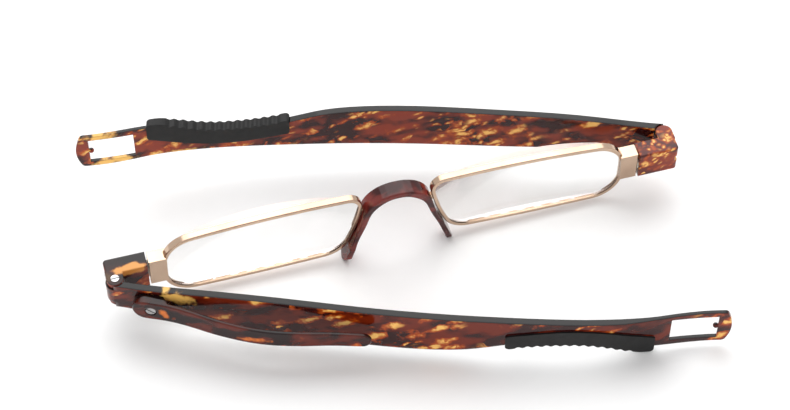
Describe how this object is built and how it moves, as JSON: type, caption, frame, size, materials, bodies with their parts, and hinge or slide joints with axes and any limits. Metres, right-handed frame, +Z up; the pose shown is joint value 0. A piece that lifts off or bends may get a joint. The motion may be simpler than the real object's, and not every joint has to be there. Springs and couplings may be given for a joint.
{
  "type": "folding reading glasses",
  "caption": "Slim half-eye reading glasses that fold into a pen: wire rims, saddle bridge, swivelling end blocks, flat tortoise temples with tip windows, rubber ear grips and a pocket clip.",
  "frame": {"origin": "middle of the bounding box at the height of the surface that the glasses rest on", "axes": "+X along the front from the wearer's left to right, +Y forward out of the lenses' front, +Z up; the front leans back 5.2 degrees as it rests"},
  "size_m": [0.1426, 0.0918, 0.0231],
  "materials": {
    "gold_metal": "polished pale champagne gold plate",
    "tortoise": "glossy tortoise cellulose acetate",
    "lens": "clear coated lens",
    "grip": "matte black moulded rubber",
    "steel": "bright machined steel",
    "bush": "natural nylon"
  },
  "bodies": {
    "front": {"right_rim": "gold_metal", "left_rim": "gold_metal", "right_lens": "lens", "left_lens": "lens", "bridge": "tortoise", "right_bridge_tab": "gold_metal", "left_bridge_tab": "gold_metal", "right_endpiece": "gold_metal", "left_endpiece": "gold_metal", "right_rim_lock_screw": "steel", "left_rim_lock_screw": "steel", "right_swivel_pin": "steel", "left_swivel_pin": "steel"},
    "left_bush": {"left_swivel_bush": "bush"},
    "right_bush": {"right_swivel_bush": "bush"},
    "left_block": {"left_end_block": "tortoise", "left_hinge_screw": "steel"},
    "right_block": {"right_end_block": "tortoise", "right_hinge_screw": "steel"},
    "left_arm": {"left_temple": "tortoise", "left_ear_grip": "grip", "clip_screw": "steel"},
    "right_arm": {"right_temple": "tortoise", "right_ear_grip": "grip"},
    "clip": {"pocket_clip": "tortoise"}
  },
  "joints": [
    {"name": "left_bush_swivel", "type": "hinge", "parent": "front", "child": "left_bush", "pos_m": [-0.0625, 0.00639, 0.01213], "axis": [-1, 0, 0], "range_deg": [0, 90]},
    {"name": "left_block_swivel", "type": "hinge", "parent": "left_bush", "child": "left_block", "pos_m": [-0.0625, 0.00639, 0.01213], "axis": [-1, 0, 0], "range_deg": [0, 90]},
    {"name": "right_bush_swivel", "type": "hinge", "parent": "front", "child": "right_bush", "pos_m": [0.0625, 0.00639, 0.01213], "axis": [1, 0, 0], "range_deg": [0, 90]},
    {"name": "right_block_swivel", "type": "hinge", "parent": "right_bush", "child": "right_block", "pos_m": [0.0625, 0.00639, 0.01213], "axis": [1, 0, 0], "range_deg": [0, 90]},
    {"name": "left_temple_hinge", "type": "hinge", "parent": "left_block", "child": "left_arm", "pos_m": [-0.06895, 0.00271, 0.0118], "axis": [0, 0.0906, -0.9959], "range_deg": [-20.4, 69.3]},
    {"name": "right_temple_hinge", "type": "hinge", "parent": "right_block", "child": "right_arm", "pos_m": [0.06895, 0.01008, 0.01247], "axis": [0, 0.0906, -0.9959], "range_deg": [-15, 74.7]},
    {"name": "clip_flex", "type": "hinge", "parent": "left_arm", "child": "clip", "pos_m": [-0.06168, -0.0035, 0.01123], "axis": [0, 0.0906, -0.9959], "range_deg": [0, 3.5], "stiffness_Nm_per_rad": 1.5}
  ]
}
